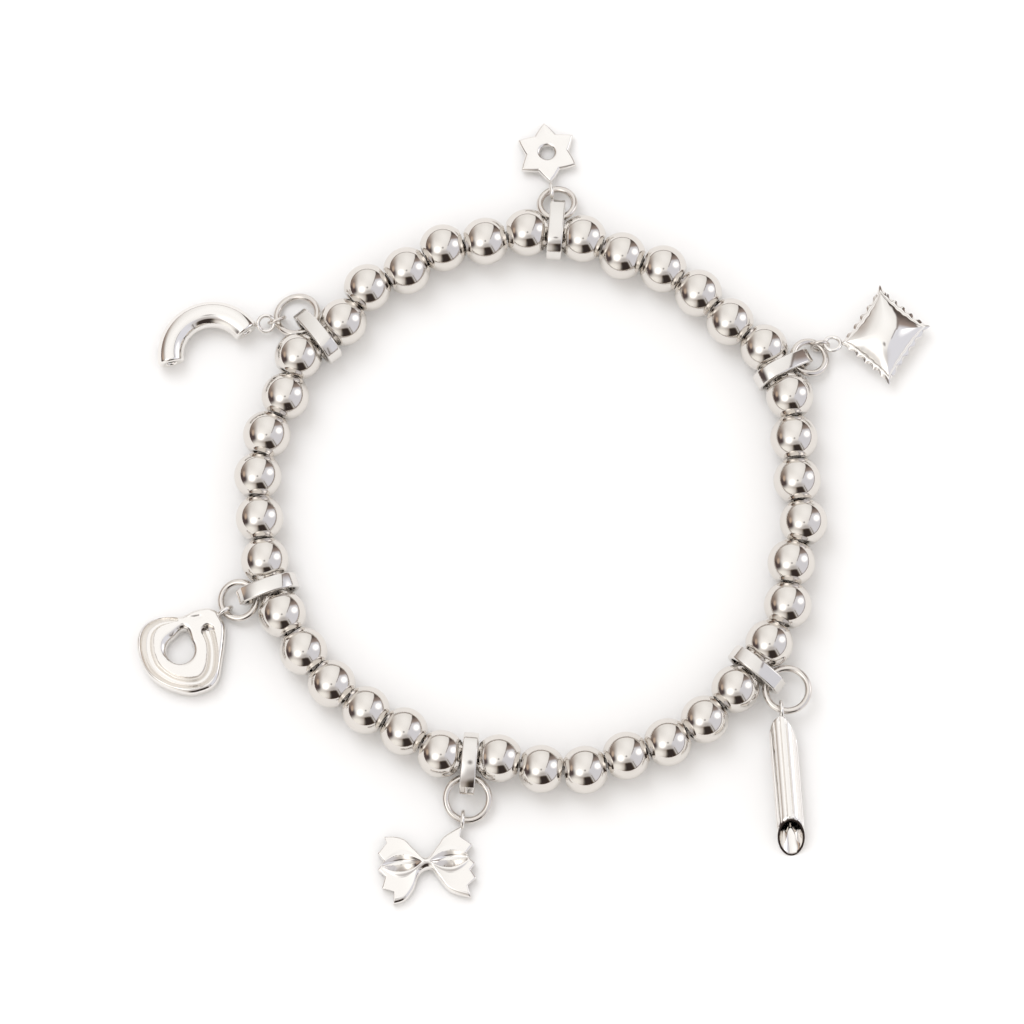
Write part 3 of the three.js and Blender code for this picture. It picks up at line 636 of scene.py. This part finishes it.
# The bow's zigzag ends and its long edges, as shares of its width from the pinch: the ends run away
# from the loop's side, the edges from left to right.
BOW_RIGHT = [(0.4, 0.33), (0.37, 0.22), (0.49, 0.125), (0.42, 0.055), (0.435, 0.005), (0.5, -0.07),
             (0.445, -0.12), (0.495, -0.215), (0.4, -0.28), (0.425, -0.41)]
BOW_LEFT = [(-0.4, 0.295), (-0.38, 0.225), (-0.48, 0.13), (-0.425, 0.045), (-0.495, -0.035),
            (-0.425, -0.11), (-0.47, -0.225), (-0.35, -0.27), (-0.37, -0.4)]
BOW_UPPER = [(-0.4, 0.295), (-0.29, 0.285), (-0.19, 0.245), (-0.11, 0.15), (0.005, 0.04), (0.135, 0.16),
             (0.215, 0.245), (0.4, 0.33)]
BOW_LOWER = [(-0.37, -0.4), (-0.25, -0.375), (-0.15, -0.275), (-0.075, -0.13), (0.035, -0.085),
             (0.115, -0.195), (0.22, -0.33), (0.425, -0.41)]
# The hollow in each wing: from and to along the wing, half width and depth as shares of the width
BOW_HOLLOW = {"start": 0.04, "end": 0.455, "width": 0.088, "depth": 0.058, "rim": 0.012}
# The pinch's rise and half width, and the half width of the waist, as shares of the width
BOW_PINCH_RISE = 0.035
BOW_PINCH_WIDTH = 0.13
BOW_WAIST = 0.2
# Radii of the rounded edges, in millimetres: along the wings and what the waist adds, and at the ends
BOW_ROUNDING = {"upper": (0.4, 0.6), "lower": (0.28, 0.25), "ends": 0.22}
BOW_SPAN = 0.9  # from zigzag to zigzag, as a share of the width


def plate_body(skin):
    """A closed body from a grid of top points: the same grid at z = 0 below, and a wall round it."""
    low = skin * [1, 1, 0]
    rim = np.concatenate([skin[:-1, 0], skin[-1, :-1], skin[:0:-1, -1], skin[0, :0:-1]])
    parts = [surface(skin, False, False), surface(low, False, False),
             surface(np.stack([rim, rim * [1, 1, 0]], 1), True, False)]
    starts = np.cumsum([0] + [len(p) for p, _ in parts[:-1]])
    return (np.concatenate([p for p, _ in parts]),
            np.concatenate([f + start for (_, f), start in zip(parts, starts)]))


def bow_charm():
    """A grid stretched between the two long edges, straight across the wings, with the zigzag added
    towards its ends. Height: a plate with rounded edges, an almond hollow with a raised rim in each
    wing, and a raised pinch."""
    rows = 121
    u, v = eased(201, 0.7), eased(rows, 0.5)

    def spread(line, shares):
        """Points at these shares of a line's rows."""
        place = np.linspace(0, 1, len(line))
        return np.stack([np.interp(shares, place, line[:, k]) for k in (0, 1)], -1)

    upper, lower = (spread(smooth_line(edge, 40), u) for edge in (BOW_UPPER, BOW_LOWER))
    flat = upper[:, None] * (1 - v)[None, :, None] + lower[:, None] * v[None, :, None]
    for end, corners, fade in ((0, BOW_LEFT, (1 - u) ** 8), (-1, BOW_RIGHT, u ** 8)):
        zigzag = spread(along_line(corners, rows), v)
        flat = flat + fade[:, None, None] * (zigzag - flat[end])[None]
    x, y = flat[..., 0], flat[..., 1]
    hollow = BOW_HOLLOW
    s = np.clip((np.abs(x) - hollow["start"]) / (hollow["end"] - hollow["start"]), 0, 1)
    bulge = np.sin(math.pi * s) ** 0.8
    from_middle = y / np.maximum(hollow["width"] * bulge, 1e-4)
    down = np.clip((1 - from_middle) / 2, 0, 1)
    dip = hollow["depth"] * bulge * np.sin(math.pi * down ** 0.66) ** 1.3
    rim = hollow["rim"] * bulge * np.exp(-((np.abs(from_middle) - 1.1) / 0.3) ** 2)
    pinch = BOW_PINCH_RISE * np.exp(-(x / BOW_PINCH_WIDTH) ** 2)
    rise = BOW_THICKNESS + BOW_WIDTH * (pinch + rim - dip)
    height = np.linalg.norm(upper - lower, axis=1)[:, None] * BOW_WIDTH
    waist = np.exp(-(x / BOW_WAIST) ** 2)
    for edge, share in (("upper", 1 - v), ("lower", v)):
        radius, more = BOW_ROUNDING[edge]
        rise = rise - rounding(height * share, radius + more * waist)
    from_end = BOW_SPAN * BOW_WIDTH * np.minimum(u, 1 - u)[:, None]
    rise = rise - rounding(from_end, BOW_ROUNDING["ends"])
    skin = np.stack([x * BOW_WIDTH, y * BOW_WIDTH, rise], -1)
    tip = np.array([*BOW_RIGHT[0], 0]) * BOW_WIDTH
    body = moved(plate_body(skin), lambda p: turned(p - tip, BOW_TURN))
    return [lean_from_loop(body, BOW_THICKNESS, 2 * SOLDER), charm_loop()]


# The folded ring, as shares of its width from the hole's middle: its outline, and the groove's middle
# line with half widths
FOLD_OUTLINE = [
    (0.44, 0.42), (0.38, 0.47), (0.3, 0.49), (0.16, 0.465), (0.04, 0.405), (-0.06, 0.39),
    (-0.22, 0.385), (-0.38, 0.325), (-0.47, 0.22), (-0.5, 0.08), (-0.46, -0.1), (-0.38, -0.26),
    (-0.26, -0.38), (-0.09, -0.465), (0.1, -0.51), (0.24, -0.49), (0.37, -0.43), (0.445, -0.32),
    (0.48, -0.12), (0.505, 0.08), (0.51, 0.28)]
FOLD_GROOVE = [
    (-0.05, 0.35, 0.02), (-0.15, 0.345, 0.035), (-0.27, 0.31, 0.05), (-0.365, 0.21, 0.062),
    (-0.385, 0.05, 0.068), (-0.35, -0.1, 0.066), (-0.27, -0.23, 0.06), (-0.1, -0.345, 0.055),
    (0.09, -0.385, 0.052), (0.25, -0.355, 0.055), (0.345, -0.24, 0.058), (0.372, -0.06, 0.055),
    (0.355, 0.1, 0.05), (0.315, 0.225, 0.062)]
FOLD_CREASE = [(-0.01, 0.405), (0.1, 0.37), (0.22, 0.385)]
# The other sizes of the folded ring, in millimetres: the crease, and the rounding of the outline and
# of the hole, which is wider by hole_more at the angle of the neck, in degrees
FOLD_SOFT = {"crease_depth": 0.06, "crease_width": 0.2, "outline": 0.55, "hole": 0.45,
             "hole_more": 0.5, "neck": 125}
FOLD_GROOVE_REACH = 1.3  # how far the groove's soft walls reach, against its half widths


def nearest(points, line):
    """Distance from each point to a line's closest point, and that point's number."""
    away = np.sqrt(((points[:, :, None] - line) ** 2).sum(-1))
    return away.min(-1), away.argmin(-1)


def fold_charm():
    """Spokes from the hole to the outline. Height: a plate with rounded edges, less a groove of
    smoothly changing width and a crease where the ring folds over itself."""
    outline = smooth_line(FOLD_OUTLINE, 12, True) * FOLD_WIDTH
    by_angle = np.arctan2(outline[:, 1], outline[:, 0])
    order = np.argsort(by_angle)
    angle = np.linspace(-math.pi, math.pi, 288, endpoint=False)
    outer = np.interp(angle, by_angle[order], np.hypot(*outline.T)[order], period=2 * math.pi)
    neck = np.clip(np.sin(angle + 0.2), 0, 1) ** 12
    hole = (FOLD_HOLE / 2) * (1 + 0.5 * neck)
    radius = hole[:, None] + (outer - hole)[:, None] * eased(81, 0.4)
    flat = np.stack([radius * np.cos(angle)[:, None], radius * np.sin(angle)[:, None]], -1)
    groove = smooth_line(FOLD_GROOVE, 12) * FOLD_WIDTH
    away, which = nearest(flat, groove[:, :2])
    inner = np.hypot(*np.moveaxis(flat, -1, 0)) < np.hypot(*groove[which, :2].transpose(2, 0, 1))
    t = np.clip(1 - away / (FOLD_GROOVE_REACH * groove[which, 2]), 0, 1)
    t = np.clip(t * np.where(inner, FOLD_STEEP, 1.0), 0, 1)
    dip = FOLD_GROOVE_DEPTH * t ** 1.5 * (2.5 - 1.5 * t)
    crease = nearest(flat, smooth_line(FOLD_CREASE, 12) * FOLD_WIDTH)[0]
    soft = FOLD_SOFT
    dip = dip + soft["crease_depth"] * np.exp(-(crease / soft["crease_width"]) ** 2)
    rise = FOLD_THICKNESS - dip - rounding(outer[:, None] - radius, soft["outline"])
    by_neck = np.clip(np.cos(angle - math.radians(soft["neck"])), 0, 1)[:, None]
    slope = soft["hole"] + soft["hole_more"] * by_neck
    rise = rise - rounding(radius - hole[:, None], slope)
    skin = np.concatenate([flat, rise[..., None]], -1)
    low = (skin * [1, 1, 0])[:, ::-1]
    body = surface(np.concatenate([skin, low], 1))
    corner = np.array([*FOLD_OUTLINE[0], 0]) * FOLD_WIDTH
    body = moved(body, lambda p: turned(p - corner, FOLD_TURN))
    return [lean_from_loop(body, FOLD_THICKNESS, 2 * SOLDER), charm_loop()]


CHARMS = {
    "star": star_charm, "ravioli": pillow_charm, "penne": quill_charm,
    "farfalle": bow_charm, "tortellini": fold_charm, "macaroni": elbow_charm,
}


def make_charm(name):
    """A charm, turned to the direction in which it lies and set over the middle of its node's box."""
    node = "charm_" + name
    parts = [moved(part, lambda p: turned(p, LIES[name])) for part in CHARMS[name]()]
    low, high = box_of(np.concatenate([p for p, _ in parts]))
    node_low, node_high = box_of(node_points(node))
    shift = (node_low + node_high - low - high) / 2
    shift[2] = node_low[2] - low[2]
    parts = [moved(part, lambda p: p + shift) for part in parts]
    make_piece("silver_" + node, parts, node, CAST_SILVER)


def make_floor():
    """A wide pale floor under the bracelet."""
    mesh = bpy.data.meshes.new("floor")
    reach = 1.5
    mesh.from_pydata([(-reach, -reach, 0), (reach, -reach, 0), (reach, reach, 0), (-reach, reach, 0)],
                     [], [(0, 1, 2, 3)])
    material = bpy.data.materials.new("floor_white")
    material.use_nodes = True
    shader = material.node_tree.nodes["Principled BSDF"]
    shader.inputs["Base Color"].default_value = (0.93, 0.92, 0.91, 1)
    shader.inputs["Roughness"].default_value = 0.6
    shader.inputs["Specular IOR Level"].default_value = 0.2
    mesh.materials.append(material)
    floor = bpy.data.objects.new("floor", mesh)
    bpy.context.scene.collection.objects.link(floor)


# The studio round the bracelet, as it shows in a small mirror ball seen from the camera: places
# are (right, up) in ball radii from the ball's middle. Flats are convex outlines, their corners
# clockwise; spots are round or oval glows with a centre, half sizes and a turn in degrees. soft is
# the width of a flat's edge, and the share of a spot over which it fades. Later rows cover earlier.
# The dark line of the horizon covers every row but the near ones.
STUDIO = [
    {"name": "side_fade", "corners": [(0.2, 0.46), (0.62, 0.56), (0.9, 0.4), (0.6, 0.1), (0.2, 0.1)],
     "soft": 0.12, "colour": (0.36, 0.29, 0.26)},
    {"name": "side_screen", "corners": [(0.2, 0.32), (0.62, 0.4), (0.9, 0.1), (0.7, -0.6),
                                        (0.44, -0.56), (0.06, -0.2), (0.06, 0.0)],
     "soft": 0.06, "colour": (0.82, 0.825, 0.89)},
    {"name": "main_screen", "corners": [(-0.9, 1.0), (0.24, 1.0), (0.33, 0.72), (0.34, 0.52),
                                        (0.28, 0.26), (0.2, 0.06), (0.07, -0.3), (-0.6, -0.3),
                                        (-0.9, 0.4)],
     "soft": 0.025, "colour": (0.98, 0.965, 0.95)},
    {"name": "screen_glow", "centre": (0.04, 0.42), "half": (0.36, 0.5), "turn": 8, "soft": 0.9,
     "colour": (1.14, 1.135, 1.13)},
    {"name": "upper_left", "centre": (-0.62, 0.46), "half": (0.34, 0.44), "turn": -35, "soft": 0.9,
     "colour": (0.52, 0.46, 0.42)},
    {"name": "lamp_glow", "centre": (-0.2, 0.02), "half": (0.4, 0.4), "turn": 0, "soft": 1.0,
     "colour": (1.26, 1.25, 1.24)},
    {"name": "screen_foot", "centre": (0.08, -0.2), "half": (0.3, 0.17), "turn": 0, "soft": 0.9,
     "colour": (0.6, 0.57, 0.56)},
    {"name": "upper_edge", "corners": [(0.335, 0.52), (0.38, 0.52), (0.3, 0.25), (0.275, 0.25)],
     "soft": 0.02, "colour": (0.25, 0.21, 0.19)},
    {"name": "lower_edge", "corners": [(0.275, 0.28), (0.305, 0.28), (0.22, 0.06), (0.2, 0.07)],
     "soft": 0.02, "colour": (0.25, 0.21, 0.2)},
    {"name": "smoky_screen", "corners": [(-0.8, -0.26), (0.0, -0.26), (0.0, -0.9), (-0.8, -0.9)],
     "soft": 0.1, "colour": (0.46, 0.4, 0.37)},
    {"name": "low_screen", "centre": (-0.37, -0.47), "half": (0.42, 0.32), "turn": -10, "soft": 0.8,
     "colour": (1.12, 1.1, 1.06), "near": True},
    {"name": "left_smoke", "centre": (-0.66, 0.2), "half": (0.34, 0.42), "turn": 0, "soft": 0.8,
     "colour": (0.3, 0.235, 0.2)},
    {"name": "left_shade", "centre": (-0.66, -0.16), "half": (0.32, 0.36), "turn": -14, "soft": 0.55,
     "colour": (0.1, 0.075, 0.075)},
    {"name": "left_opening", "centre": (-0.56, 0.08), "half": (0.08, 0.17), "turn": 0, "soft": 0.7,
     "colour": (0.62, 0.48, 0.38)},
    {"name": "bright_strip", "corners": [(0.2, -0.18), (0.3, -0.2), (0.5, -0.5), (0.36, -0.55)],
     "soft": 0.02, "colour": (0.7, 0.68, 0.68)},
    {"name": "strip_line", "corners": [(0.25, -0.2), (0.27, -0.2), (0.45, -0.5), (0.43, -0.52)],
     "soft": 0.012, "colour": (0.18, 0.16, 0.16)},
    {"name": "frame_rim", "corners": [(-0.05, -0.3), (0.22, -0.26), (0.42, -0.66), (-0.1, -0.78)],
     "soft": 0.05, "colour": (0.2, 0.15, 0.08)},
    {"name": "dark_frame", "corners": [(-0.04, -0.29), (0.21, -0.26), (0.36, -0.58), (-0.07, -0.65)],
     "soft": 0.05, "colour": (0.045, 0.034, 0.031)},
    {"name": "lamp_left", "centre": (-0.23, -0.1), "half": (0.2, 0.2), "turn": 0, "soft": 0.8,
     "colour": (1.9, 1.88, 1.86)},
    {"name": "lamp_right", "centre": (0.52, 0.17), "half": (0.19, 0.19), "turn": 0, "soft": 0.9,
     "colour": (1.9, 1.9, 1.92)},
    {"name": "camera", "centre": (0.0, -0.01), "half": (0.06, 0.06), "turn": 0, "soft": 0.8,
     "colour": (0.38, 0.36, 0.35)},
]
DARK_ROOM = (0.10, 0.08, 0.073)  # where no row reaches
HORIZON = (0.16, 0.115, 0.09)
HORIZON_HEIGHT = 0.1  # Z of the unit vector at which the horizon's darkness ends
FLOOR_LIGHT = (0.995, 0.975, 0.955)  # on matt surfaces, from everywhere


def edge_group():
    """Mask of a half plane: 1 where the place (A, B) lies further along a direction than the
    offset."""
    group, start, end = make_group(
        "studio_edge", {"A": 0.0, "B": 0.0, "Along A": 1.0, "Along B": 0.0, "Offset": 0.0, "Soft": 0.05},
        ["Mask"])
    given = start.outputs
    reach = maths(group, "ADD", maths(group, "MULTIPLY", given["A"], given["Along A"]),
                  maths(group, "MULTIPLY", given["B"], given["Along B"]))
    past = maths(group, "SUBTRACT", reach, given["Offset"])
    low = maths(group, "MULTIPLY", given["Soft"], -1.0)
    group.links.new(smooth_between(group, past, low, given["Soft"]), end.inputs["Mask"])
    return group


def spot_group():
    """Mask of an oval glow: 1 in its middle, 0 outside its half sizes."""
    inputs = {"A": 0.0, "B": 0.0, "At A": 0.0, "At B": 0.0, "Half A": 0.1, "Half B": 0.1,
              "Turn": 0.0, "Soft": 0.5}
    group, start, end = make_group("studio_spot", inputs, ["Mask"])
    given = start.outputs
    a = maths(group, "SUBTRACT", given["A"], given["At A"])
    b = maths(group, "SUBTRACT", given["B"], given["At B"])
    c, s = maths(group, "COSINE", given["Turn"]), maths(group, "SINE", given["Turn"])
    x = maths(group, "ADD", maths(group, "MULTIPLY", a, c), maths(group, "MULTIPLY", b, s))
    y = maths(group, "SUBTRACT", maths(group, "MULTIPLY", b, c), maths(group, "MULTIPLY", a, s))
    x, y = maths(group, "DIVIDE", x, given["Half A"]), maths(group, "DIVIDE", y, given["Half B"])
    away = maths(group, "SQRT", maths(group, "ADD", maths(group, "MULTIPLY", x, x),
                                      maths(group, "MULTIPLY", y, y)))
    inside = maths(group, "SUBTRACT", 1.0, away)
    group.links.new(smooth_between(group, inside, 0.0, given["Soft"]), end.inputs["Mask"])
    return group


def use_group(tree, group, values):
    """A group's node with its inputs linked or set; its first output."""
    node = tree.nodes.new("ShaderNodeGroup")
    node.node_tree = group
    for label, value in values.items():
        connect(tree, value, node.inputs[label])
    return node.outputs[0]


def flat_mask(tree, edge, a, b, corners, soft):
    """A convex outline: inside every edge between its corners, taken clockwise."""
    mask = 1.0
    for (a0, b0), (a1, b1) in zip(corners, corners[1:] + corners[:1]):
        length = math.hypot(a1 - a0, b1 - b0)
        along_a, along_b = (b1 - b0) / length, (a0 - a1) / length
        inside = use_group(tree, edge, {
            "A": a, "B": b, "Along A": along_a, "Along B": along_b,
            "Offset": a0 * along_a + b0 * along_b, "Soft": soft})
        mask = maths(tree, "MULTIPLY", mask, inside)
    return mask


def mix_colours(tree, factor, first, second):
    """First where the factor is 0, second where it is 1. Sockets 6 and 7 are the colours, and
    output 2 is their mix."""
    node = tree.nodes.new("ShaderNodeMix")
    node.data_type = "RGBA"
    for source, socket in ((factor, 0), (first, 6), (second, 7)):
        if isinstance(source, tuple):
            source = (*source, 1)
        connect(tree, source, node.inputs[socket])
    return node.outputs[2]


def make_studio():
    """The light from every direction d: the mirror ball's normal there is the unit vector halfway
    between d and the camera, and its parts to the camera's right and up place the flats and spots.
    Matt surfaces get an even light of their own instead."""
    world = bpy.data.worlds.new("studio")
    bpy.context.scene.world = world
    world.use_nodes = True
    tree = world.node_tree
    place = tree.nodes.new("ShaderNodeTexCoord")

    def vector(operation, first, second=None):
        """A Vector Math node's result."""
        node = tree.nodes.new("ShaderNodeVectorMath")
        node.operation = operation
        connect(tree, first, node.inputs[0])
        if second is not None:
            connect(tree, second, node.inputs[1])
        return node.outputs["Value" if operation == "DOT_PRODUCT" else "Vector"]

    direction = vector("NORMALIZE", place.outputs["Generated"])
    normal = vector("NORMALIZE", vector("ADD", direction, TOWARD_CAMERA))
    a = vector("DOT_PRODUCT", normal, (1, 0, 0))
    b = vector("DOT_PRODUCT", normal, CAMERA_UP)
    height = vector("DOT_PRODUCT", direction, (0, 0, 1))
    above = smooth_between(tree, height, 0.0, HORIZON_HEIGHT)
    edge, spot = edge_group(), spot_group()

    def painted(colour, rows):
        """A colour with the flats and spots of some rows laid over it."""
        for row in rows:
            if "corners" in row:
                mask = flat_mask(tree, edge, a, b, row["corners"], row["soft"])
            else:
                mask = use_group(tree, spot, {
                    "A": a, "B": b, "At A": row["centre"][0], "At B": row["centre"][1],
                    "Half A": row["half"][0], "Half B": row["half"][1],
                    "Turn": math.radians(row["turn"]), "Soft": row["soft"]})
            colour = mix_colours(tree, mask, colour, row["colour"])
        return colour

    colour = painted(DARK_ROOM, [row for row in STUDIO if "near" not in row])
    colour = mix_colours(tree, above, HORIZON, colour)
    colour = painted(colour, [row for row in STUDIO if "near" in row])
    rays = tree.nodes.new("ShaderNodeLightPath")
    colour = mix_colours(tree, rays.outputs["Is Diffuse Ray"], colour, FLOOR_LIGHT)
    tree.links.new(colour, tree.nodes["Background"].inputs["Color"])


def make_lights():
    """A broad soft light over the floor from the upper left, which the silver doesn't mirror."""
    data = bpy.data.lights.new("overhead", "AREA")
    data.shape = "DISK"
    data.size = 0.7
    data.energy = 3.0
    data.color = (0.93, 0.98, 1.06)
    lamp = bpy.data.objects.new("overhead", data)
    lamp.location = (-0.35, 0.45, 0.9)
    lamp.rotation_mode = "QUATERNION"
    lamp.rotation_quaternion = (-Vector(lamp.location)).to_track_quat("-Z", "Y")
    lamp.visible_glossy = False
    bpy.context.scene.collection.objects.link(lamp)


def make_camera():
    """The camera, as far off and as steep as the photograph's."""
    data = bpy.data.cameras.new("camera")
    data.sensor_width = SENSOR
    data.lens = SENSOR * CAMERA_DISTANCE / VIEW_WIDTH
    data.clip_start, data.clip_end = 0.05, 5.0
    camera = bpy.data.objects.new("camera", data)
    toward = Vector(TOWARD_CAMERA)
    camera.location = Vector(CAMERA_TARGET) * MM + toward * CAMERA_DISTANCE * MM
    camera.rotation_mode = "QUATERNION"
    camera.rotation_quaternion = (-toward).to_track_quat("-Z", "Y")
    bpy.context.scene.collection.objects.link(camera)
    bpy.context.scene.camera = camera


make_camera()
make_floor()
make_studio()
make_lights()
bead_names = sorted(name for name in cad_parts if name.startswith("bead_"))
bead_middles = np.array([make_bead(name) for name in bead_names])
make_cord(bead_middles)
for charm in CHARMS:
    make_bail(charm, bead_middles.mean(0))
    make_ring("jump_ring_" + charm)
    make_charm(charm)
for link in ("link_ravioli", "link_macaroni"):
    make_ring(link)

bpy.context.scene.view_settings.view_transform = "Standard"
